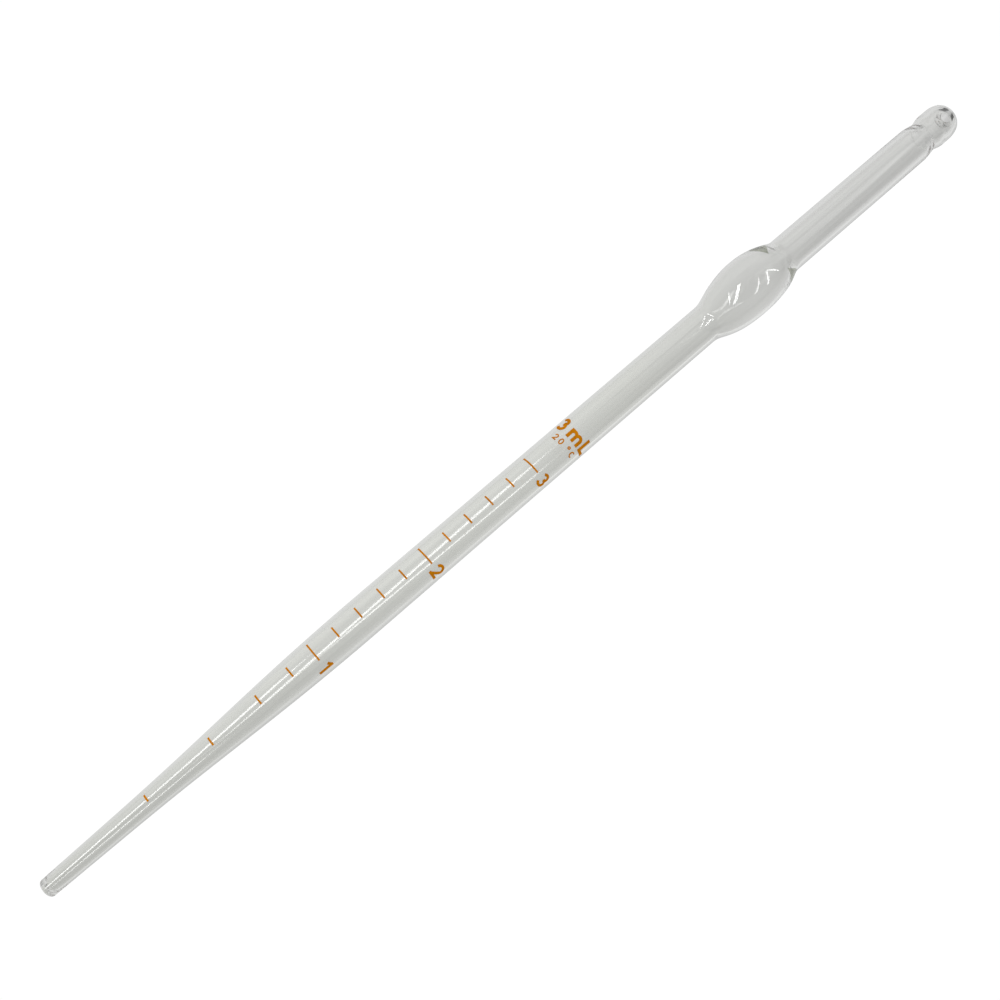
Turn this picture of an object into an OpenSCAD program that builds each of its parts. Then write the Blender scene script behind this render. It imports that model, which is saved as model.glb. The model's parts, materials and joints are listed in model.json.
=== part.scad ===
// Graduated glass dropping pipette: drawn tip, barrel, safety bulb, suction stem and beaded mouthpiece.
// It lies along X with its tip towards -X and its scale facing up. All sizes are in millimetres.
// A station is a distance along the axis from the end of the tip.

/* [Barrel tube] */
// Outside diameter of the barrel tube
tube_od = 8.2; // [7:0.1:10]
// Wall of the barrel tube
tube_wall = 0.74; // [0.6:0.02:1]

/* [Drawn tip] */
// Outside diameter just behind the rounded end of the tip
tip_od = 3.7; // [3:0.1:4.2]
// Bore just behind the closed-in end of the tip
tip_bore = 2.84; // [2:0.02:2.9]
// Opening at the end of the tip
tip_hole = 1.2; // [0.8:0.1:1.8]
// Length over which the end of the tip is rounded
tip_round = 0.65; // [0.4:0.05:1]
// Length over which the bore closes in to the opening
tip_dome = 2; // [1:0.1:4]
// Station where the jet meets the draw-down cone
jet_length = 26.2; // [22:0.2:30]
// Outside diameter at that station
jet_od = 4.73; // [4.5:0.01:5.2]
// Bore at that station
jet_bore = 3.7; // [3.2:0.05:4]
// Half of the length over which that bend is eased
jet_bend = 8.4; // [3:0.2:12]
// Station where the draw-down cone meets the barrel
draw_length = 61.7; // [56:0.1:68]
// Half of the length over which that bend is eased
draw_bend = 14.7; // [6:0.1:18]

/* [Scale] */
// Volume at the top line, in mL
capacity = 3; // [2:1:4]
// Length from the end of the tip to the 1 mL line
one_ml_length = 62.8; // [58:0.1:70]
// Stations of the lines below 1 mL, in the drawn tip
tip_lines = [23.3, 38.3, 49.6, 57.2]; // [10:0.1:60]
// Width of a line's stroke
line_stroke = 0.36; // [0.2:0.02:0.6]
// Arc of a numbered line, in degrees about the axis
long_arc = 62; // [40:1:70]
// Arc of a plain line
short_arc = 36; // [20:1:40]
// Turn of the lines' middle about the axis, from straight up
scale_turn = -6; // [-30:1:30]
// Turn of the numerals' middle from the lines' middle
numeral_turn = 59; // [56:1:70]
// Height of a numeral
numeral_height = 3.2; // [2:0.1:4]
// Stroke of a numeral
numeral_stroke = 0.6; // [0.3:0.05:0.7]
// How far the fired colour stands on the glass
mark_thickness = 0.05; // [0.03:0.01:0.1]

/* [Print above the scale] */
// Distance from the top line to the middle of the small print
print_rise = 8; // [6:0.5:12]
// Height of the small print
small_height = 1.5; // [1.2:0.1:2]
// Stroke of the small print
small_stroke = 0.28; // [0.2:0.02:0.4]
// Height of the large print
large_height = 3.4; // [2.5:0.1:4]
// Stroke of the large print
large_stroke = 0.72; // [0.5:0.02:0.8]
// Gap between the two lines of print
print_gap = 0.8; // [0.4:0.1:2]
// Gap between neighbouring letters
letter_gap = 0.6; // [0.3:0.05:0.8]
// Turn of the print's middle from the lines' middle
print_turn = 20; // [-20:1:40]

/* [Bulb] */
// Outside diameter of the bulb
bulb_od = 13.4; // [11:0.1:18]
// Length of the bulb's oval below its belly
bulb_lower = 14.4; // [12:0.2:20]
// Length of the bulb's oval above its belly
bulb_upper = 13.3; // [12:0.1:16]
// Fullness of the oval above the belly: 2 is an ellipse, and more is blunter
bulb_fullness = 2.2; // [2:0.1:2.6]
// Wall at the belly of the bulb
bulb_wall = 0.65; // [0.4:0.05:1]
// Distance from the top line to the belly of the bulb
bulb_rise = 64.1; // [50:0.1:90]
// How far the hollow's oval stops short of the bulb's, because the seal is thick
crown_wall = 1.7; // [1:0.1:2.5]
// Sharpness of the run from the barrel into the bulb
lower_sharpness = 8; // [6:1:12]
// Sharpness of the bulb's upper shoulder
shoulder_sharpness = 12; // [8:1:24]
// Sharpness of the hollow's run into the bore of the stem
hollow_sharpness = 8; // [6:1:16]

/* [Suction stem] */
// Outside diameter of the stem
stem_od = 8.5; // [7.5:0.1:10]
// Wall of the stem
stem_wall = 0.9; // [0.6:0.05:1.2]
// Distance from the shoulder's corner to the flame seal
seal_rise = 0.8; // [0.2:0.1:2]
// Length of the stem from the seal to the neck
stem_length = 43.7; // [30:0.1:60]

/* [Mouthpiece] */
// Outside diameter at the waist of the neck
neck_od = 7.4; // [6.8:0.1:8]
// Wall at the waist of the neck
neck_wall = 1.2; // [0.8:0.05:1.5]
// Length over which the stem narrows to the waist
neck_fall = 3.4; // [2:0.1:6]
// Length over which the waist widens to the bead
neck_rise = 3.2; // [2:0.1:5]
// Outside diameter of the bead
bead_od = 8.5; // [8:0.1:8.5]
// Wall of the bead
bead_wall = 1.15; // [0.8:0.05:1.4]
// Length of the bead from the neck to the mouth
bead_length = 5.1; // [4.5:0.1:9]
// Length over which the end of the bead is rounded outside
mouth_round = 3; // [1:0.1:4]
// Length over which the lip turns into the mouth
mouth_turn = 0.6; // [0.4:0.1:1]
// Opening of the mouth
mouth_hole = 2.6; // [2:0.1:4]
// Length over which the bore closes in to the mouth
mouth_dome = 3; // [2:0.1:3.4]

/* [Hidden] */
$fn = 96;
lines_per_ml = 5;
bend_steps = 8;
bulb_steps = 24;
neck_steps = 14;
dome_steps = 8;
lip_steps = 12;
glyph_steps = 14;
glass = [0.80, 0.86, 0.84, 0.45];
amber = [0.72, 0.42, 0.04];

tube_bore = tube_od - 2 * tube_wall;
stem_bore = stem_od - 2 * stem_wall;
neck_bore = neck_od - 2 * neck_wall;
bead_bore = bead_od - 2 * bead_wall;

// One millilitre is 1000 cubic millimetres of the bore.
ml_length = 1000 / (PI * pow(tube_bore / 2, 2));
tip_line_count = len(tip_lines);
line_count = lines_per_ml * capacity;
top_line = one_ml_length + (capacity - 1) * ml_length;

bulb_at = top_line + bulb_rise;
bulb_start = bulb_at - bulb_lower;
bulb_end = bulb_at + bulb_upper;
hollow_rise = bulb_upper - crown_wall;
shoulder_at = bulb_at + bulb_upper * pow(1 - pow(stem_od / bulb_od, 2), 1 / bulb_fullness);
seal_at = shoulder_at + seal_rise;
neck_start = seal_at + stem_length;
neck_at = neck_start + neck_fall;
neck_end = neck_at + neck_rise;
overall = neck_end + bead_length;

tip_dome_end = tip_round + tip_dome;
mouth_dome_end = overall - mouth_turn;
mouth_dome_start = mouth_dome_end - mouth_dome;

small_print_at = top_line + print_rise;
large_print_at = small_print_at + small_height / 2 + print_gap + large_height / 2;

function line_at(i) = i <= tip_line_count ? tip_lines[i - 1] : one_ml_length + (i / lines_per_ml - 1) * ml_length;
function is_numbered(i) = i % lines_per_ml == 0;
function line_name(i) = str("graduation_", floor(i / lines_per_ml), "_", i % lines_per_ml * 10 / lines_per_ml);
function numeral_name(n) = str("numeral_", n);

// A length that starts to grow at the corner, eased by a parabola over a bend on each side of it.
function ramp(s, corner, bend) =
    s <= corner - bend ? 0 :
    s >= corner + bend ? s - corner :
    pow(s - corner + bend, 2) / (4 * bend);

// Diameter of the drawn tube: a slow jet, a steeper cone and the straight barrel.
function drawn(s, at_tip, at_jet, at_barrel) =
    let (jet_slope = (at_jet - at_tip) / jet_length)
    let (cone_slope = (at_barrel - at_jet) / (draw_length - jet_length))
    at_tip + jet_slope * s
    + (cone_slope - jet_slope) * ramp(s, jet_length, jet_bend)
    - cone_slope * ramp(s, draw_length, draw_bend);

function oval(s, half, radius, fullness) =
    abs(s - bulb_at) < half ? radius * sqrt(1 - pow(abs(s - bulb_at) / half, fullness)) : 0;

// The larger of two radii, with the corner between them rounded.
function blend(a, b, sharpness) = pow(pow(a, sharpness) + pow(b, sharpness), 1 / sharpness);

// The stem falls to the waist with a soft corner, and the waist swells to the bead.
function neck(s, stem, waist, bead) =
    let (fall = min((neck_at - s) / neck_fall, 1))
    let (rise = min((s - neck_at) / neck_rise, 1))
    s < neck_at ? waist + (stem - waist) * (fall + sin(90 * fall)) / 2 :
    waist + (bead - waist) * (1 - cos(180 * rise)) / 2;

// A quarter oval that closes a bore in to an opening; inward runs from 0 at the opening to 1 at the bore.
function dome(inward, opening, bore) = opening + (bore - opening) * sqrt(1 - pow(1 - inward, 2));

function outside(s) =
    s < bulb_at ?
        blend(drawn(s, tip_od, jet_od, tube_od) / 2, oval(s, bulb_lower, bulb_od / 2, 2), lower_sharpness) :
    s < bulb_end ?
        blend(stem_od / 2, oval(s, bulb_upper, bulb_od / 2, bulb_fullness), shoulder_sharpness) :
    neck(s, stem_od / 2, neck_od / 2, bead_od / 2);

function inside(s) =
    let (hollow = bulb_od / 2 - bulb_wall)
    s < tip_dome_end ? dome((s - tip_round) / tip_dome, tip_hole / 2, tip_bore / 2) :
    s < bulb_at ?
        blend(drawn(s, tip_bore, jet_bore, tube_bore) / 2, oval(s, bulb_lower - bulb_wall, hollow, 2),
            lower_sharpness) :
    s < bulb_end ? blend(stem_bore / 2, oval(s, hollow_rise, hollow, bulb_fullness), hollow_sharpness) :
    s < mouth_dome_start ? neck(s, stem_bore / 2, neck_bore / 2, bead_bore / 2) :
    dome((mouth_dome_end - s) / mouth_dome, mouth_hole / 2, bead_bore / 2);

function steps(from, to, count) = [for (i = [0 : count]) from + (to - from) * i / count];

bend_stations = concat(
    steps(jet_length - jet_bend, jet_length + jet_bend, bend_steps),
    steps(draw_length - draw_bend, draw_length + draw_bend, bend_steps)
);
lower_bulb = steps(bulb_start, bulb_at, bulb_steps);
upper_bulb = steps(bulb_at + bulb_upper / bulb_steps, bulb_end, bulb_steps);
// The hollow's stations crowd towards its dome, where it turns fastest.
upper_hollow = [for (i = [1 : bulb_steps]) bulb_at + hollow_rise * sin(90 * i / bulb_steps)];
neck_stations = steps(neck_start, neck_end, neck_steps);
tip_dome_stations = [for (i = [1 : dome_steps]) tip_round + tip_dome * (1 - cos(90 * i / dome_steps))];
mouth_dome_stations = [for (i = [0 : dome_steps - 1]) mouth_dome_start + mouth_dome * sin(90 * i / dome_steps)];

outer_stations = concat(bend_stations, lower_bulb, upper_bulb, neck_stations);
inner_stations = concat(
    tip_dome_stations, bend_stations, lower_bulb, upper_hollow, neck_stations, mouth_dome_stations
);
outer_table = [for (s = outer_stations) [s, outside(s)]];

function reversed(list) = [for (i = [len(list) - 1 : -1 : 0]) list[i]];
function outer_points(from, to) = [for (s = outer_stations) if (s > from && s < to) [outside(s), s]];
function inner_points(from, to) = [for (s = inner_stations) if (s > from && s < to) [inside(s), s]];

// Points of a rounded end, from its bore to its outside; the two sides turn over their own lengths.
function lip(inner, outer, end, way, inner_turn, outer_turn) =
    [for (a = steps(180, 0, lip_steps))
        [(outer + inner) / 2 + (outer - inner) / 2 * cos(a),
            end - way * (a > 90 ? inner_turn : outer_turn) * (1 - sin(a))]];

module lay_down() {
    translate([-overall / 2, 0, bulb_od / 2])
        rotate([0, 90, 0])
            rotate([0, 0, 180])
                children();
}

// Drawn tip, barrel and blown bulb, worked from one tube.
module barrel_tube() {
    section = concat(
        lip(tip_hole / 2, outside(tip_round), 0, -1, tip_round, tip_round),
        outer_points(tip_round, seal_at),
        [[outside(seal_at), seal_at], [inside(seal_at), seal_at]],
        reversed(inner_points(tip_round, seal_at))
    );
    color(glass)
        lay_down()
            rotate_extrude()
                polygon(section);
}

// The wider tube sealed to the bulb's shoulder, with its neck and beaded mouthpiece.
module suction_stem() {
    section = concat(
        [[inside(seal_at), seal_at], [outside(seal_at), seal_at]],
        outer_points(seal_at, overall - mouth_round),
        reversed(lip(mouth_hole / 2, bead_od / 2, overall, 1, mouth_turn, mouth_round)),
        reversed(inner_points(seal_at, mouth_dome_end))
    );
    color(glass)
        lay_down()
            rotate_extrude()
                polygon(section);
}

// Section of a thin layer of colour that lies on the glass between two stations.
module layer_section(from, to) {
    between = [for (row = outer_table) if (row[0] > from && row[0] < to) row[0]];
    along = concat([from], between, [to]);
    polygon(concat(
        [for (s = along) [lookup(s, outer_table), s]],
        [for (s = reversed(along)) [lookup(s, outer_table) + mark_thickness, s]]
    ));
}

module graduation(i) {
    arc = is_numbered(i) ? long_arc : short_arc;
    color(amber)
        lay_down()
            rotate_extrude(angle = arc, start = scale_turn - arc / 2)
                layer_section(line_at(i) - line_stroke / 2, line_at(i) + line_stroke / 2);
}

// Points along an arc of an ellipse.
function arc_path(middle, radii, from, to) =
    [for (a = steps(from, to, glyph_steps)) middle + [radii[0] * cos(a), radii[1] * sin(a)]];

// Half a stroke's offset at a point of a path, lengthened at a corner so that the sides stay parallel.
function side(path, i) =
    let (before = i == 0 ? path[1] - path[0] : path[i] - path[i - 1])
    let (after = i == len(path) - 1 ? before : path[i + 1] - path[i])
    let (across = [-before[1], before[0]] / norm(before) + [-after[1], after[0]] / norm(after))
    across / (across * across);

module stroke(path, width) {
    last = len(path) - 1;
    polygon(concat(
        [for (i = [0 : last]) path[i] + side(path, i) * width],
        [for (i = [last : -1 : 0]) path[i] - side(path, i) * width]
    ));
}

module loop(middle, radii, width) {
    difference() {
        polygon(arc_path(middle, radii + [width, width] / 2, 0, 360));
        polygon(arc_path(middle, radii - [width, width] / 2, 0, 360));
    }
}

// Width of a glyph's centre lines, as a share of its height.
function glyph_width(name) =
    name == "1" ? 0.26 :
    name == "m" ? 0.8 :
    name == "deg" ? 0.3 :
    0.5;

// A plain rounded figure or letter, h tall, with its left edge and foot at the origin and strokes w wide.
module glyph(name, h, w) {
    foot = w / 2 / h;
    top = 1 - foot;
    if (name == "1") {
        stroke(h * [[0, 0.74], [0.26, 0.92]], w);
        stroke(h * [[0.26, 0], [0.26, 1]], w);
    }
    if (name == "2") {
        stroke(h * concat(arc_path([0.25, top - 0.25], [0.25, 0.25], 170, -40), [[0.02, foot]]), w);
        stroke(h * [[-foot, foot], [0.5 + foot, foot]], w);
    }
    if (name == "3") {
        stroke(h * arc_path([0.24, top - 0.2], [0.22, 0.2], 155, -85), w);
        stroke(h * arc_path([0.25, foot + 0.24], [0.25, 0.24], 90, -155), w);
    }
    if (name == "4") {
        stroke(h * [[0.38, 0], [0.38, 1]], w);
        stroke(h * [[0.36, top], [0, 0.3], [0.5 + foot, 0.3]], w);
    }
    if (name == "0") {
        loop(h * [0.25, 0.5], h * [0.25, top - 0.5], w);
    }
    if (name == "deg") {
        ring = 0.07 * h + w / 2;
        loop([ring, h - ring - w / 2], [ring, ring], w);
    }
    if (name == "C") {
        stroke(h * arc_path([0.3, 0.5], [0.3, top - 0.5], 50, 310), w);
    }
    if (name == "m") {
        stroke(h * [[0, 0], [0, 0.7]], w);
        stroke(h * concat(arc_path([0.2, 0.5 - foot], [0.2, 0.2], 155, 0), [[0.4, 0]]), w);
        stroke(h * concat(arc_path([0.6, 0.5 - foot], [0.2, 0.2], 155, 0), [[0.8, 0]]), w);
    }
    if (name == "L") {
        stroke(h * [[0, 0], [0, 1]], w);
        stroke(h * [[-foot, foot], [0.5, foot]], w);
    }
}

// A glyph laid on the glass, upright when the tip points down, with its middle at a station and a turn.
module fired_glyph(name, h, w, at, turn) {
    reach = 80;
    intersection() {
        rotate([0, 0, turn])
            rotate([90, 0, 90])
                linear_extrude(height = bulb_od)
                    translate([-glyph_width(name) * h / 2, at - h / 2])
                        glyph(name, h, w);
        rotate_extrude(angle = reach, start = turn - reach / 2)
            layer_section(at - h, at + h);
    }
}

// Glyphs in a row round the barrel, centred on a turn; a blank name leaves a space.
module fired_row(names, h, w, at, turn) {
    widths = [for (name = names) name == "" ? 0 : glyph_width(name) * h + w];
    starts = [for (i = 0, x = 0; i < len(names); x = x + widths[i] + letter_gap, i = i + 1) x];
    row_width = starts[len(names) - 1] + widths[len(names) - 1];
    for (i = [0 : len(names) - 1])
        if (names[i] != "")
            fired_glyph(names[i], h, w, at,
                turn + (starts[i] + widths[i] / 2 - row_width / 2) / (tube_od / 2) * 180 / PI);
}

module numeral(n) {
    color(amber)
        lay_down()
            fired_glyph(str(n), numeral_height, numeral_stroke, line_at(n * lines_per_ml), scale_turn + numeral_turn);
}

// Plain capacity in large print.
module capacity_mark() {
    color(amber)
        lay_down()
            fired_row([str(capacity), "", "m", "L"], large_height, large_stroke, large_print_at,
                scale_turn + print_turn);
}

// Plain reading temperature under the capacity.
module temperature_mark() {
    color(amber)
        lay_down()
            fired_row(["2", "0", "", "deg", "C"], small_height, small_stroke, small_print_at,
                scale_turn + print_turn);
}

barrel_tube();
suction_stem();
for (i = [1 : line_count])
    graduation(i);
for (n = [1 : capacity])
    numeral(n);
capacity_mark();
temperature_mark();
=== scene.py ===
# %% [markdown]
# # A graduated glass dropping pipette
#
# The object is one long body of clear glass: a drawn tip, a graduated barrel, a blown bulb and a suction
# stem with a beaded mouth. Amber marks are fired onto the barrel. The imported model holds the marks, the two
# tubes and the overall size, so the scene starts by loading it and keeping its box.

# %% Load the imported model
import json
import math

import bmesh
import bpy
from mathutils import Matrix, Vector

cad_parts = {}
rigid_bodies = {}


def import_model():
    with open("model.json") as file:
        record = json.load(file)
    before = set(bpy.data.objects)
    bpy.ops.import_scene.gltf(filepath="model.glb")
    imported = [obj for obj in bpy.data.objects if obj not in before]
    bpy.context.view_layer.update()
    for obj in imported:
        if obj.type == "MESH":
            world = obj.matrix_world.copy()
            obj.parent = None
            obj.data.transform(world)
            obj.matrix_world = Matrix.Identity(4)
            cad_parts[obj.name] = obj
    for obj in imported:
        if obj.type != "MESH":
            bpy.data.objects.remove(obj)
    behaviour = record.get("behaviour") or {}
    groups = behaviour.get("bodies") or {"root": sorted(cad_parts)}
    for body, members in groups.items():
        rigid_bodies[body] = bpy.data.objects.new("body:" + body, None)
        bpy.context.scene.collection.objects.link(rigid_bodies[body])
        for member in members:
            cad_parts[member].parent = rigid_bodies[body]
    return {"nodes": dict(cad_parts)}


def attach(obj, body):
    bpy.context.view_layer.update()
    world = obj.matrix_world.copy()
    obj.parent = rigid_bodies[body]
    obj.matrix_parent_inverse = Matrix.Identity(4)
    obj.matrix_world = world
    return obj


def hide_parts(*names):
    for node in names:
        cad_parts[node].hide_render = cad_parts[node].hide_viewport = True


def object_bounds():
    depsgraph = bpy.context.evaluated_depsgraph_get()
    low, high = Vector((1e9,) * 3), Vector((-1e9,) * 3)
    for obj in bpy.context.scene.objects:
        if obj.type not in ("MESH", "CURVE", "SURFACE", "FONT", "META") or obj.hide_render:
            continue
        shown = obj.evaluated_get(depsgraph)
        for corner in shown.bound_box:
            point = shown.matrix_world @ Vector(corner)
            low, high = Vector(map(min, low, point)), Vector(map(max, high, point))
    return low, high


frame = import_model()
scene = bpy.context.scene
cad_box = [list(corner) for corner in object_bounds()]
MM = 0.001
print("nodes:", len(frame["nodes"]), "box in mm:", [[round(v / MM, 2) for v in c] for c in cad_box])

# %% [markdown]
# ## The outline of the glass
#
# A glass worker starts from plain tube: the tip is drawn out in a flame, the bulb is blown, and a second
# tube is sealed on above it. The outline could be traced by hand, point by point. Here each stretch has
# the rule that the flame gives it, so the curve is smooth at any number of points. A station is a distance
# in millimetres along the axis from the end of the tip.

# %% Sizes of the glass, in millimetres
OVERALL = (cad_box[1][0] - cad_box[0][0]) / MM
AXIS_Z = 6.7
TUBE_R, BORE_R = 4.1, 3.36
STEM_R, STEM_BORE_R = 4.25, 3.35
BULB_R, BULB_WALL, BULB_AT = 6.7, 0.65, 183.29
BULB_LOWER, BULB_UPPER, FULLNESS, HOLLOW_RISE = 14.4, 13.3, 2.2, 11.6
NECK_R, NECK_BORE_R, NECK_FALL, NECK_RISE, NECK_AT = 3.7, 2.5, 3.4, 3.2, 241.715
BEAD_R, BEAD_BORE_R = 4.25, 3.1
MOUTH_R, MOUTH_DOME, MOUTH_ROUND, MOUTH_TURN = 1.3, 3.0, 3.0, 0.15
TIP_R, TIP_BORE_R, TIP_HOLE_R, TIP_DOME, TIP_ROUND = 1.85, 1.42, 0.6, 2.0, 0.65
JET_R, JET_BORE_R, JET_END, JET_BEND = 2.365, 1.85, 26.2, 8.4
CONE_END, CONE_BEND = 61.7, 14.7
print("overall", round(OVERALL, 2), "axis height", round(AXIS_Z, 2))


# %% Rules for each stretch of the outline
def ramp(s, corner, bend):
    """Nothing before the corner, a straight rise after it, and a round bend between them."""
    if s <= corner - bend:
        return 0.0
    if s >= corner + bend:
        return s - corner
    return (s - corner + bend) ** 2 / (4 * bend)


def drawn(s, at_tip, at_jet, at_barrel):
    """A slim jet, a cone, and then plain tube."""
    jet_slope = (at_jet - at_tip) / JET_END
    cone_slope = (at_barrel - at_jet) / (CONE_END - JET_END)
    return (at_tip + jet_slope * s + (cone_slope - jet_slope) * ramp(s, JET_END, JET_BEND)
            - cone_slope * ramp(s, CONE_END, CONE_BEND))


def oval(s, half, radius, fullness=2):
    """One half of the blown bulb."""
    x = abs(s - BULB_AT) / half
    return radius * math.sqrt(1 - x ** fullness) if x < 1 else 0.0


def blend(a, b, sharpness):
    """The larger of two radii, with the corner between them filled."""
    return (a ** sharpness + b ** sharpness) ** (1 / sharpness)


def neck(s, stem, waist, bead):
    """From the stem in to the waist and out again to the bead."""
    if s < NECK_AT:
        away = min((NECK_AT - s) / NECK_FALL, 1)
        return waist + (stem - waist) * (away + math.sin(math.pi / 2 * away)) / 2
    away = min((s - NECK_AT) / NECK_RISE, 1)
    return waist + (bead - waist) * (1 - math.cos(math.pi * away)) / 2


def dome(inward, opening, bore):
    """A bore that closes to a small opening; inward is 0 at the opening and 1 at the full bore."""
    return opening + (bore - opening) * math.sqrt(max(1 - (1 - inward) ** 2, 0))


# %% The outside and the bore along the whole length
SOFT_CORNER, CRISP_CORNER = 8, 12


def outside(s):
    """Radius of the glass at a station."""
    if s < BULB_AT:
        return blend(drawn(s, TIP_R, JET_R, TUBE_R), oval(s, BULB_LOWER, BULB_R), SOFT_CORNER)
    if s < BULB_AT + BULB_UPPER:
        return blend(STEM_R, oval(s, BULB_UPPER, BULB_R, FULLNESS), CRISP_CORNER)
    return neck(s, STEM_R, NECK_R, BEAD_R)


def inside(s):
    """Radius of the bore at a station."""
    hollow_r = BULB_R - BULB_WALL
    mouth_end = OVERALL - MOUTH_TURN
    if s < TIP_ROUND + TIP_DOME:
        return dome((s - TIP_ROUND) / TIP_DOME, TIP_HOLE_R, TIP_BORE_R)
    if s < BULB_AT:
        hollow = oval(s, BULB_LOWER - BULB_WALL, hollow_r)
        return blend(drawn(s, TIP_BORE_R, JET_BORE_R, BORE_R), hollow, SOFT_CORNER)
    if s < BULB_AT + BULB_UPPER:
        return blend(STEM_BORE_R, oval(s, HOLLOW_RISE, hollow_r, FULLNESS), SOFT_CORNER)
    if s < mouth_end - MOUTH_DOME:
        return neck(s, STEM_BORE_R, NECK_BORE_R, BEAD_BORE_R)
    return dome((mouth_end - s) / MOUTH_DOME, MOUTH_R, BEAD_BORE_R)


print("radius at the tip, barrel, bulb and stem:",
      [round(outside(s), 3) for s in (1, 100, BULB_AT, 220)])

# %% [markdown]
# ## The glass body
#
# The tube is a turned shape with a wall, so its section is one closed loop: up the outside, over the lip
# of the mouth, down the bore and over the lip of the tip. Spin turns that loop about the axis. Two
# separate surfaces would also work, but one closed loop gives the glass a true inside and outside, and
# that is what bends the light.


# %% The section of the wall
CONE_CURVE = (17, 77)
PLAIN_STATIONS = [11, 100, 120, 140, 155, 205, 222]


def steps(start, end, count):
    """Evenly spaced values, with both ends."""
    return [start + (end - start) * i / count for i in range(count + 1)]


def lip(inner, outer, end, way, inner_turn, outer_turn, count=24):
    """A rounded end from the bore to the outside; its two sides turn over their own lengths."""
    middle, half = (outer + inner) / 2, (outer - inner) / 2
    points = []
    for a in steps(math.pi, 0, count):
        turn = inner_turn if a > math.pi / 2 else outer_turn
        points.append((end - way * turn * (1 - math.sin(a)), middle + half * math.cos(a)))
    return points


def glass_section():
    """The wall's closed loop, with close points where it bends and few where it is plain tube."""
    close = steps(*CONE_CURVE, 40) + steps(BULB_AT - BULB_LOWER - 1, BULB_AT + BULB_UPPER + 1, 100)
    close += steps(NECK_AT - NECK_FALL, NECK_AT + NECK_RISE, 26) + PLAIN_STATIONS
    quarter = [1 - math.cos(a) for a in steps(0, math.pi / 2, 12)[1:]]
    tip_dome = [TIP_ROUND + TIP_DOME * q for q in quarter]
    mouth_dome = [OVERALL - MOUTH_TURN - MOUTH_DOME * q for q in quarter]
    outer = [(s, outside(s)) for s in sorted(close + [1.2, 5])]
    inner = [(s, inside(s)) for s in sorted(close + [6] + tip_dome + mouth_dome, reverse=True)]
    tip = lip(TIP_HOLE_R, outside(TIP_ROUND), 0, -1, TIP_ROUND, TIP_ROUND)
    mouth = lip(MOUTH_R, BEAD_R, OVERALL, 1, MOUTH_TURN, MOUTH_ROUND)
    return tip + outer + mouth[::-1] + inner


section = glass_section()
print("section:", len(section), "points")

# %% Spin the section about the axis
SPIN_STEPS = 112
bm = bmesh.new()
loop = [bm.verts.new(((s - OVERALL / 2) * MM, 0, (AXIS_Z + r) * MM)) for s, r in section]
edges = [bm.edges.new((a, b)) for a, b in zip(loop, loop[1:] + loop[:1])]
bmesh.ops.spin(bm, geom=loop + edges, cent=(0, 0, AXIS_Z * MM), axis=(1, 0, 0), angle=2 * math.pi,
               steps=SPIN_STEPS, use_merge=True)
bmesh.ops.remove_doubles(bm, verts=bm.verts, dist=1e-7)
bmesh.ops.recalc_face_normals(bm, faces=bm.faces)
print("spun:", len(bm.verts), "points,", len(bm.faces), "faces")

# %% [markdown]
# ## Blown by hand
#
# No blown bulb is quite round: this one sits a little askew, so its lower end starts further down on one
# side than on the other. A lattice could bend it. Sliding each point along the axis by a share of how far
# it lies to one side does the same in a few lines, and it leaves the barrel and the stem alone.


# %% Skew the bulb
SKEW_Y, SKEW_Z = -0.97, -0.24
LOWER_SKEW, UPPER_SKEW = 0.21, 0.08
LOWER_STRETCH, UPPER_STRETCH = (150, 166, 176, 188), (185, 192, 194, 200)


def smooth(x, start, end):
    """0 before the start, 1 after the end, and an S-curve between them."""
    t = min(max((x - start) / (end - start), 0), 1)
    return t * t * (3 - 2 * t)


def within(s, stretch):
    """1 in the middle of a stretch of stations, fading to 0 at its two ends."""
    return smooth(s, stretch[0], stretch[1]) * (1 - smooth(s, stretch[2], stretch[3]))


slides = []
for v in bm.verts:
    s = v.co.x / MM + OVERALL / 2
    aside = SKEW_Y * v.co.y + SKEW_Z * (v.co.z - AXIS_Z * MM)
    share = UPPER_SKEW * within(s, UPPER_STRETCH) - LOWER_SKEW * within(s, LOWER_STRETCH)
    slides.append(aside * share)
    v.co.x += slides[-1]
print("skew: up to", round(max(slides) / MM, 2), "mm along the axis")


# %% Make the glass a piece of the part
def new_piece(name, bm):
    """A bmesh as a piece that rides on the part's only body."""
    mesh = bpy.data.meshes.new(name)
    bm.to_mesh(mesh)
    bm.free()
    mesh.shade_smooth()
    piece = bpy.data.objects.new(name, mesh)
    scene.collection.objects.link(piece)
    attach(piece, "root")
    return piece


glass_body = new_piece("glass_body", bm)
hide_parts("barrel_tube", "suction_stem")
print("glass body:", len(glass_body.data.polygons), "faces")

# %% [markdown]
# ## Streaks of the draw
#
# Tube is drawn from a pool of melt, and the pull leaves faint lines along it. Both the glass and the marks
# that lie on it show them. A wave texture would repeat, so the lines come from noise whose coordinates are
# squeezed along the axis. It is a node group, because both materials use it with their own values.


# %% Small helpers for node trees
def put(tree, target, value):
    """Link a socket, or set a plain value."""
    if hasattr(value, "is_output"):
        tree.links.new(value, target)
    else:
        target.default_value = value


def maths(tree, operation, *values):
    """One Math node."""
    node = tree.nodes.new("ShaderNodeMath")
    node.operation = operation
    for target, value in zip(node.inputs, values):
        put(tree, target, value)
    return node.outputs[0]


def spread(tree, value, low, high, to_low, to_high, smooth_ends=False):
    """A Map Range node: low to high becomes to_low to to_high."""
    node = tree.nodes.new("ShaderNodeMapRange")
    node.interpolation_type = "SMOOTHSTEP" if smooth_ends else "LINEAR"
    names = ("Value", "From Min", "From Max", "To Min", "To Max")
    for name, setting in zip(names, (value, low, high, to_low, to_high)):
        put(tree, node.inputs[name], setting)
    return node.outputs["Result"]


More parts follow.
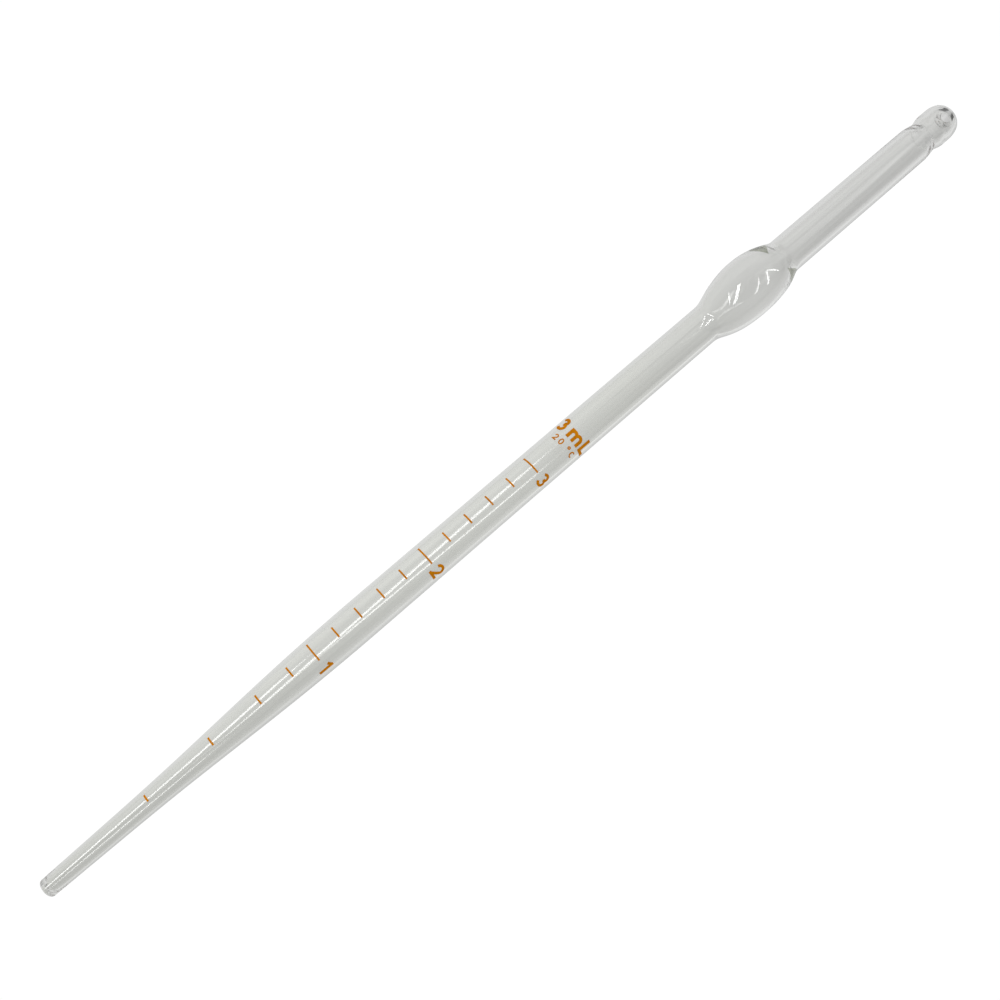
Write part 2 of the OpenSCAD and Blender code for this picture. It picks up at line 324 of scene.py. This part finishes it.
# %% The node group for the streaks
streaks = bpy.data.node_groups.new("streaks_of_the_draw", "ShaderNodeTree")
for name, value in (("Lines per mm", 2.0), ("Length mm", 40.0), ("Detail", 2.0)):
    socket = streaks.interface.new_socket(name, in_out="INPUT", socket_type="NodeSocketFloat")
    socket.default_value = value
streaks.interface.new_socket("Height", in_out="OUTPUT", socket_type="NodeSocketFloat")
given = streaks.nodes.new("NodeGroupInput")
result = streaks.nodes.new("NodeGroupOutput")
place = streaks.nodes.new("ShaderNodeTexCoord")
split = streaks.nodes.new("ShaderNodeSeparateXYZ")
streaks.links.new(place.outputs["Object"], split.inputs[0])
join = streaks.nodes.new("ShaderNodeCombineXYZ")
across = maths(streaks, "DIVIDE", given.outputs["Lines per mm"], MM)
along = maths(streaks, "DIVIDE", 1 / MM, given.outputs["Length mm"])
for axis, scale in (("X", along), ("Y", across), ("Z", across)):
    streaks.links.new(maths(streaks, "MULTIPLY", split.outputs[axis], scale), join.inputs[axis])
noise = streaks.nodes.new("ShaderNodeTexNoise")
noise.inputs["Scale"].default_value = 1.0
streaks.links.new(join.outputs[0], noise.inputs["Vector"])
streaks.links.new(given.outputs["Detail"], noise.inputs["Detail"])
streaks.links.new(noise.outputs["Fac"], result.inputs["Height"])
print("group:", streaks.name)


# %% Place the group in a material
def streak_height(tree, lines, length, detail):
    """The streaks as a value, as fine and as long as this material needs."""
    node = tree.nodes.new("ShaderNodeGroup")
    node.node_tree = streaks
    for name, value in (("Lines per mm", lines), ("Length mm", length), ("Detail", detail)):
        node.inputs[name].default_value = value
    return node.outputs["Height"]


def bump(tree, height, strength, distance):
    """A normal tilted by a height; the distance is in millimetres."""
    node = tree.nodes.new("ShaderNodeBump")
    node.inputs["Strength"].default_value = strength
    node.inputs["Distance"].default_value = distance * MM
    tree.links.new(height, node.inputs["Height"])
    return node.outputs["Normal"]


def mixed(tree, factor, first, second):
    """A colour between two others."""
    node = tree.nodes.new("ShaderNodeMix")
    node.data_type = "RGBA"
    put(tree, node.inputs[0], factor)
    put(tree, node.inputs[6], first)
    put(tree, node.inputs[7], second)
    return node.outputs[2]


# %% [markdown]
# ## Clear drawn glass
#
# Borosilicate glass is nearly colourless, with a trace of grey-green that is a little stronger in the
# barrel's tube than in the stem's. A Glass shader would do, but the Principled shader with full
# transmission keeps colour, roughness and bump in one place. The trace of colour varies with the streaks,
# and less so on the bulb, where blowing has drawn them apart.

# %% Glass material, and where each point of it lies
glass = bpy.data.materials.new("clear_drawn_glass")
glass.use_nodes = True
tree = glass.node_tree
shader = tree.nodes["Principled BSDF"]
shader.inputs["IOR"].default_value = 1.47
shader.inputs["Transmission Weight"].default_value = 1.0
place = tree.nodes.new("ShaderNodeTexCoord")
split = tree.nodes.new("ShaderNodeSeparateXYZ")
tree.links.new(place.outputs["Object"], split.inputs[0])
station = maths(tree, "MULTIPLY_ADD", split.outputs["X"], 1 / MM, OVERALL / 2)
height = maths(tree, "SUBTRACT", split.outputs["Z"], AXIS_Z * MM)
from_bulb = maths(tree, "ABSOLUTE", maths(tree, "SUBTRACT", station, BULB_AT))
print("glass: index", round(shader.inputs["IOR"].default_value, 2))

# %% Colour of the two tubes
TONE_CHANGE, BLOWN_OUT_TO = (150, 185), (8, 16)
fine = spread(tree, streak_height(tree, 1.3, 160, 2), 0.35, 0.65, 0, 1)
blown = spread(tree, from_bulb, *BLOWN_OUT_TO, 0.25, 1, True)
fine = maths(tree, "MULTIPLY_ADD", maths(tree, "SUBTRACT", fine, 0.5), blown, 0.5)
stem_tone = mixed(tree, fine, (0.915, 0.918, 0.904, 1), (0.996, 0.999, 0.986, 1))
barrel_tone = mixed(tree, fine, (0.911, 0.918, 0.890, 1), (0.992, 0.999, 0.971, 1))
tone = mixed(tree, spread(tree, station, *TONE_CHANGE, 0, 1), barrel_tone, stem_tone)
print("tones: the barrel's up to station", TONE_CHANGE[0], "and the stem's from", TONE_CHANGE[1])

# %% [markdown]
# ## The flame seal
#
# Where the stem's tube is sealed to the bulb, the glass ran thick in the flame, and at the two edges, where
# the eye looks along it, it shows dark olive wedges: the thick glass bends the dark surroundings into view
# there. The dark olive is painted shade, set in the base colour, with only a trace of the glass's own green
# in it, since a thicker wall would bend the light there but not darken it. So Layer Weight, on the direction
# out from the axis, finds the edges, and a slanting station gives the wedges their ends. Only the near
# surface is tinted, because the far one would show each of the wedges a second time, bent out of place.

# %% Edges of the glass
radial = tree.nodes.new("ShaderNodeCombineXYZ")
tree.links.new(split.outputs["Y"], radial.inputs["Y"])
tree.links.new(height, radial.inputs["Z"])
outward = tree.nodes.new("ShaderNodeVectorMath")
outward.operation = "NORMALIZE"
tree.links.new(radial.outputs[0], outward.inputs[0])
facing = tree.nodes.new("ShaderNodeLayerWeight")
facing.inputs["Blend"].default_value = 0.5
tree.links.new(outward.outputs[0], facing.inputs["Normal"])
path = tree.nodes.new("ShaderNodeLightPath")
near_surface = path.outputs["Is Camera Ray"]
print("edges: Layer Weight on the direction out from the axis")

# %% Tint of the seal, with its painted shade
SEAL_AT, SEAL_LEAN_Y, SEAL_LEAN_Z = 193.25, 0.1, 0.647
WEDGE_INNERMOST, WEDGE_TAPER, WEDGE_BLUR = 0.23, 0.165, 0.02
WEDGE_START, WEDGE_END = (190.6, 191.2), (194.2, 194.6)
# Painted shade: this dark olive stands in for the dark surroundings that the thick seal bends into view.
OLIVE_PAINTED_SHADE = (0.26, 0.28, 0.21, 1)
aside = maths(tree, "MULTIPLY_ADD", split.outputs["Y"], SEAL_LEAN_Y / MM, station)
leaning = maths(tree, "MULTIPLY_ADD", height, SEAL_LEAN_Z / MM, aside)
from_seal = maths(tree, "ABSOLUTE", maths(tree, "SUBTRACT", leaning, SEAL_AT))
border = maths(tree, "MULTIPLY_ADD", from_seal, WEDGE_TAPER, WEDGE_INNERMOST)
depth = maths(tree, "SUBTRACT", facing.outputs["Facing"], border)
ends = maths(tree, "MULTIPLY", spread(tree, leaning, *WEDGE_START, 0, 1, True),
             spread(tree, leaning, *WEDGE_END, 1, 0, True))
painted_shade_wedge = maths(tree, "MULTIPLY", spread(tree, depth, -WEDGE_BLUR, WEDGE_BLUR, 0, 1, True), ends)
# The painted shade is mixed into the near surface's colour at the seal's two edges.
tone = mixed(tree, maths(tree, "MULTIPLY", painted_shade_wedge, near_surface), tone, OLIVE_PAINTED_SHADE)
tree.links.new(tone, shader.inputs["Base Color"])
print("seal: two wedges near station", SEAL_AT)

# %% [markdown]
# ## Gloss of the tube
#
# Bright bars in the room show on the fire-polished tube as thin lines. Bare glass sends back only four rays
# in a hundred, so a render draws such a line from a handful of rays, and it comes out ragged. A coat that
# sends back more of them, under dimmer lamps, is just as bright and far smoother. It covers the straight
# tube where that faces the eye, and leaves the edges and the bulb alone. The relief of the streaks fades
# towards the tip and the mouth, where the flame has melted them away.

# %% Coat of the straight tube
TUBE_FROM_BULB, FRONT_ENDS = (16, 24), (0.3, 0.6)
tube = spread(tree, from_bulb, *TUBE_FROM_BULB, 0, 1, True)
front = spread(tree, facing.outputs["Facing"], *FRONT_ENDS, 1, 0, True)
coat = maths(tree, "MULTIPLY", maths(tree, "MULTIPLY", tube, front), near_surface)
tree.links.new(coat, shader.inputs["Coat Weight"])
shader.inputs["Coat Roughness"].default_value = 0.16
shader.inputs["Coat IOR"].default_value = 2.0
print("coat: from", TUBE_FROM_BULB[1], "mm either side of the bulb's middle")

# %% Roughness and relief
MELTED_TIP, MELTED_NECK = (2, 70), (234, 240)
lines = streak_height(tree, 1.0, 60, 2)
tree.links.new(spread(tree, lines, 0.3, 0.7, 0.03, 0.05), shader.inputs["Roughness"])
past_tip = spread(tree, station, *MELTED_TIP, 0, 1)
before_neck = spread(tree, station, *MELTED_NECK, 1, 0, True)
relief = maths(tree, "MULTIPLY", lines, maths(tree, "MULTIPLY", past_tip, before_neck))
tree.links.new(bump(tree, relief, 0.5, 0.012), shader.inputs["Normal"])
glass_body.data.materials.append(glass)
print("glass:", len(tree.nodes), "nodes")

# %% [markdown]
# ## Fired amber marks
#
# The lines, numerals and small marks are a stain fired into the surface: a brown amber, a little uneven where
# it was laid on thick or thin, and dull beside the glass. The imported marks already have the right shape, so
# they stay and only get this finish. A cloudy noise gives the uneven colour, and the streaks of the glass
# below show through as a slight relief.

# %% Amber material
DEEP_AMBER, PALE_AMBER = (0.50, 0.168, 0.001, 1), (0.62, 0.218, 0.001, 1)
amber = bpy.data.materials.new("fired_amber")
amber.use_nodes = True
tree = amber.node_tree
shader = tree.nodes["Principled BSDF"]
cloud = tree.nodes.new("ShaderNodeTexNoise")
cloud.inputs["Scale"].default_value = 0.9 / MM
cloud.inputs["Detail"].default_value = 3
place = tree.nodes.new("ShaderNodeTexCoord")
tree.links.new(place.outputs["Object"], cloud.inputs["Vector"])
patchy = spread(tree, cloud.outputs["Fac"], 0.35, 0.65, 0, 1)
stain = mixed(tree, patchy, DEEP_AMBER, PALE_AMBER)
tree.links.new(stain, shader.inputs["Base Color"])
shader.inputs["Specular IOR Level"].default_value = 0.03
tree.links.new(spread(tree, cloud.outputs["Fac"], 0.3, 0.7, 0.42, 0.6), shader.inputs["Roughness"])
tree.links.new(bump(tree, streak_height(tree, 3.0, 12, 2), 0.2, 0.01), shader.inputs["Normal"])
marks = [node for name, node in frame["nodes"].items() if name not in ("barrel_tube", "suction_stem")]
for mark in marks:
    mark.data.materials.clear()
    mark.data.materials.append(amber)
print("amber on", len(marks), "marks")

# %% [markdown]
# ## The white table
#
# The pipette lies on white paper under even light, touching it with its bulb and the lower end of its barrel,
# so the paper is a plane that leans a little. A lit diffuse plane would show a shadow and grey corners. The
# paper glows instead: white to the eye, and darker to the glass, with the soft bands that the tube itself
# gathers and shades on the paper under it. It is so even that rays find it anyway, so it isn't sampled as a
# lamp, which leaves those samples to the real lamps.

# %% The leaning plane
FLOOR_SIZE, FLOOR_GAP = 2.0, 0.00002
below_bulb = steps(0.6, 170, 400)
lean = min((AXIS_Z - outside(s)) / (BULB_AT - s) for s in below_bulb)
bm = bmesh.new()
bmesh.ops.create_grid(bm, x_segments=1, y_segments=1, size=FLOOR_SIZE)
bmesh.ops.rotate(bm, verts=bm.verts, cent=(0, 0, 0), matrix=Matrix.Rotation(math.atan(lean), 3, "Y"))
bmesh.ops.translate(bm, verts=bm.verts, vec=((BULB_AT - OVERALL / 2) * MM, 0, -FLOOR_GAP))
mesh = bpy.data.meshes.new("floor")
bm.to_mesh(mesh)
bm.free()
floor = bpy.data.objects.new("floor", mesh)
scene.collection.objects.link(floor)
print("the floor leans", round(math.degrees(math.atan(lean)), 3), "degrees")


# %% Helpers for the glow
def seen_and_lit(tree, seen, lit):
    """Strength of a glow: one value as the eye sees it, another as the glass sees it."""
    path = tree.nodes.new("ShaderNodeLightPath")
    mix = tree.nodes.new("ShaderNodeMix")
    tree.links.new(path.outputs["Is Camera Ray"], mix.inputs["Factor"])
    put(tree, mix.inputs[2], lit)
    put(tree, mix.inputs[3], seen)
    return mix.outputs[0]


def bell(tree, value, middle, width, height):
    """A smooth hump about a middle."""
    away = maths(tree, "DIVIDE", maths(tree, "SUBTRACT", value, middle), width)
    fall = maths(tree, "EXPONENT", maths(tree, "MULTIPLY", maths(tree, "MULTIPLY", away, away), -1.0))
    return maths(tree, "MULTIPLY", fall, height)


# %% Places on the paper, as the tube above it measures them
FULL_WIDTH_AT = 62
paper = bpy.data.materials.new("white_paper")
paper.use_nodes = True
tree = paper.node_tree
tree.nodes.remove(tree.nodes["Principled BSDF"])
glow = tree.nodes.new("ShaderNodeEmission")
place = tree.nodes.new("ShaderNodeTexCoord")
split = tree.nodes.new("ShaderNodeSeparateXYZ")
tree.links.new(place.outputs["Object"], split.inputs[0])
tip_x = -OVERALL / 2 * MM
barrel_x = (FULL_WIDTH_AT - OVERALL / 2) * MM
half = spread(tree, split.outputs["X"], tip_x, barrel_x, TIP_R * MM, TUBE_R * MM)
across = maths(tree, "DIVIDE", split.outputs["Y"], half)
along = maths(tree, "MULTIPLY_ADD", split.outputs["X"], 1 / MM, OVERALL / 2)
print("paper: the tube's half width is", TIP_R, "mm at the tip and", TUBE_R, "mm from station", FULL_WIDTH_AT)

# %% Bands of painted shadow and painted light on the paper
# The bands are painted shadow and painted light in the paper's glow: the tube's shade on the paper and the
# light it gathers there. A band has a middle and a width, in half widths of the tube, and a strength. A patch
# of a band also has the station of its middle and its reach along the tube.
WHITE_TO_THE_EYE, PAPER_LEVEL = 1.02, 0.70
PAPER_BANDS = ((-0.50, 0.95, -0.17), (-2.25, 0.40, 0.08), (-2.25, 0.45, 0.16, 105, 65),
               (-0.55, 0.80, 0.035, 115, 55), (-0.30, 0.40, 0.045, 115, 60), (0.70, 0.60, 0.03, 120, 60),
               (1.25, 0.50, 0.08, 80, 55), (1.50, 0.50, 0.03, 150, 30), (-0.05, 0.30, 0.05, 85, 35),
               (0.75, 0.70, -0.07, 187, 12), (-0.40, 0.50, 0.07, 187, 10))


def patch(middle, width, height, at=None, reach=None):
    """A soft bright or dark band along the paper, or a patch of it about a station."""
    band = bell(tree, across, middle, width, height)
    return maths(tree, "MULTIPLY", band, bell(tree, along, at, reach, 1.0)) if at else band


level = PAPER_LEVEL
for band in PAPER_BANDS:
    level = maths(tree, "ADD", level, patch(*band))
tree.links.new(seen_and_lit(tree, WHITE_TO_THE_EYE, level), glow.inputs["Strength"])
tree.links.new(glow.outputs["Emission"], tree.nodes["Material Output"].inputs["Surface"])
floor.data.materials.append(paper)
paper.cycles.emission_sampling = "NONE"
print("paper:", len(PAPER_BANDS), "bands,", len(tree.nodes), "nodes")

# %% [markdown]
# ## The room
#
# The room is a soft white tent, brighter on one side and dark towards its two ends. The straight tube hardly
# shows those ends, but the thick round glass at the mouth and the neck bends them into its dark outlines. A
# tent could be modelled. The world's background does the same from a direction alone. The marks, which are
# dull, get more of its light than the glass does.

# %% The tent
# A dark end has a direction, the cosines at which it begins and is full, and the share of light it keeps.
DARK_ENDS = (((-0.90, 0, 0.42), 0.55, 0.80, 0.05), ((0.965, -0.26, 0.0), 0.96, 0.985, 0.1),
             ((0.90, 0.42, 0.1), 0.96, 0.985, 0.15))
BRIGHT_SIDE, TENT_LEVELS, MORE_FOR_MARKS = (-0.1, 0.95, 0.3), (0.40, 0.60), 0.7
world = bpy.data.worlds.new("studio")
scene.world = world
world.use_nodes = True
tree = world.node_tree
place = tree.nodes.new("ShaderNodeTexCoord")


def towards_side(side):
    """How far a direction in the tent points to one side, from -1 to 1."""
    dot = tree.nodes.new("ShaderNodeVectorMath")
    dot.operation = "DOT_PRODUCT"
    dot.inputs[1].default_value = Vector(side).normalized()
    tree.links.new(place.outputs["Generated"], dot.inputs[0])
    return dot.outputs["Value"]


shade = spread(tree, towards_side(BRIGHT_SIDE), -0.6, 0.6, *TENT_LEVELS, True)
for side, near, core, dark in DARK_ENDS:
    shade = maths(tree, "MULTIPLY", shade, spread(tree, towards_side(side), near, core, 1, dark, True))
tree.nodes["Background"].inputs["Color"].default_value = (1, 1, 1, 1)
path = tree.nodes.new("ShaderNodeLightPath")
more = maths(tree, "MULTIPLY_ADD", path.outputs["Is Diffuse Ray"], MORE_FOR_MARKS, 1.0)
shade = maths(tree, "MULTIPLY", shade, more)
strength = tree.nodes["Background"].inputs["Strength"]
tree.links.new(seen_and_lit(tree, WHITE_TO_THE_EYE, shade), strength)
world.cycles.sampling_method = "NONE"
print("tent:", len(tree.nodes), "nodes")

# %% [markdown]
# ## Lamps
#
# Four bars hang overhead, and their thin bright lines run along the barrel. Two wide, dim panels give the
# stem its soft pale band. A few short lamps close above the bulb give the small bright strokes in it, and a
# white card in front of the tip lights its rounded end. Glowing meshes would do, but an area lamp's size and
# brightness are plain numbers, and the camera doesn't see it.


# %% One lamp, from end to end in millimetres
def strip_light(name, start, end, width, brightness, aim):
    """An area lamp that faces its aim. Its energy grows with its area."""
    start, end, aim = Vector(start) * MM, Vector(end) * MM, Vector(aim) * MM
    data = bpy.data.lights.new(name, "AREA")
    data.shape = "RECTANGLE"
    data.size, data.size_y = (end - start).length, width * MM
    data.energy = brightness * math.pi * data.size * data.size_y
    lamp = bpy.data.objects.new(name, data)
    scene.collection.objects.link(lamp)
    lamp.visible_camera = False
    middle = (start + end) / 2
    x_axis = (end - start).normalized()
    y_axis = (middle - aim).cross(x_axis).normalized()
    turn = Matrix((x_axis, y_axis, x_axis.cross(y_axis))).transposed()
    lamp.matrix_world = Matrix.Translation(middle) @ turn.to_4x4()


# %% Bars over the barrel
OVERHEAD = 315
BARREL_MIDDLE = (-20, 0, AXIS_Z)
for name, start, end, width, brightness in (
        ("lamp_bar_near", (-260, 3), (-103, 130), 46, 3.9),
        ("lamp_bar_far", (-148, -112), (78, 90), 40, 3.2),
        ("lamp_bar_low_near", (-256, -180), (-203, -290), 30, 3.0),
        ("lamp_bar_low_far", (-64, -108), (101, -258), 24, 3.4)):
    strip_light(name, (*start, OVERHEAD), (*end, OVERHEAD), width, brightness, BARREL_MIDDLE)
print("bars over the barrel:", len(bpy.data.lights))

# %% Strokes in the bulb
STROKE_BRIGHTNESS = 13
BULB_MIDDLE = (60, 0, AXIS_Z)
for name, start, end, width in (
        ("lamp_bulb_a", (56.5, 4.0, 24.1), (49.8, -7.1, 22.8), 1.9),
        ("lamp_bulb_e", (51.3, 5.6, 23.4), (48.4, -3.7, 23.7), 0.7),
        ("lamp_bulb_b", (64.3, -4.0, 23.3), (59.7, -12.0, 19.6), 0.7),
        ("lamp_bulb_c", (67.7, -3.6, 22.4), (65.4, -12.0, 18.0), 0.7),
        ("lamp_bulb_d", (68.3, -3.2, 22.2), (72.1, -9.0, 17.3), 0.6)):
    strip_light(name, start, end, width, STROKE_BRIGHTNESS, BULB_MIDDLE)
print("with the strokes:", len(bpy.data.lights))

# %% Panels for the stem, and the card before the tip
STEM_MIDDLE, TIP_END = (105, 0, AXIS_Z), (-125, 0, AXIS_Z)
for name, start, end, width, brightness in (
        ("lamp_panel_stem", (304, -80), (384, -116), 240, 0.16),
        ("lamp_panel_neck", (341, -100), (396, -124), 220, 0.24)):
    strip_light(name, (*start, OVERHEAD), (*end, OVERHEAD), width, brightness, STEM_MIDDLE)
strip_light("card_before_the_tip", (-152, -18, 19.3), (-152, 18, 19.3), 36, 0.45, TIP_END)
print("lamps in all:", len(bpy.data.lights))

# %% [markdown]
# ## Camera
#
# The photograph looks down on the pipette from near the tip's side, close enough for the far end to look
# smaller. A fairly wide lens at a short distance gives that.

# %% Camera
AZIMUTH, ELEVATION = math.radians(-42.1), math.radians(71.8)
AIM_STATION, DISTANCE = 110.47, 203.5
camera_data = bpy.data.cameras.new("camera")
camera_data.lens = 36
camera_data.sensor_width = 36
camera_data.clip_start = 0.005
camera = bpy.data.objects.new("camera", camera_data)
scene.collection.objects.link(camera)
towards = Vector((math.sin(AZIMUTH) * math.cos(ELEVATION), -math.cos(AZIMUTH) * math.cos(ELEVATION),
                  math.sin(ELEVATION)))
target = Vector(((AIM_STATION - OVERALL / 2) * MM, 0, AXIS_Z * MM))
camera.location = target + towards * DISTANCE * MM
camera.rotation_euler = (-towards).to_track_quat("-Z", "Y").to_euler()
scene.camera = camera
scene.view_settings.view_transform = "Standard"
print("camera at", [round(v / MM, 1) for v in camera.location])

# %% [markdown]
# ## Bounces
#
# Light goes in and out of a glass wall many times. Too few bounces leave black patches where the wall is
# thick, so the limits are raised. A lamp that a ray meets after several bounces leaves a bright speck, so
# the light of later bounces is capped.

# %% Light paths
BOUNCES = 400
scene.cycles.max_bounces = BOUNCES
scene.cycles.transmission_bounces = BOUNCES
scene.cycles.glossy_bounces = BOUNCES
scene.cycles.sample_clamp_indirect = 1.2
print("up to", BOUNCES, "bounces")
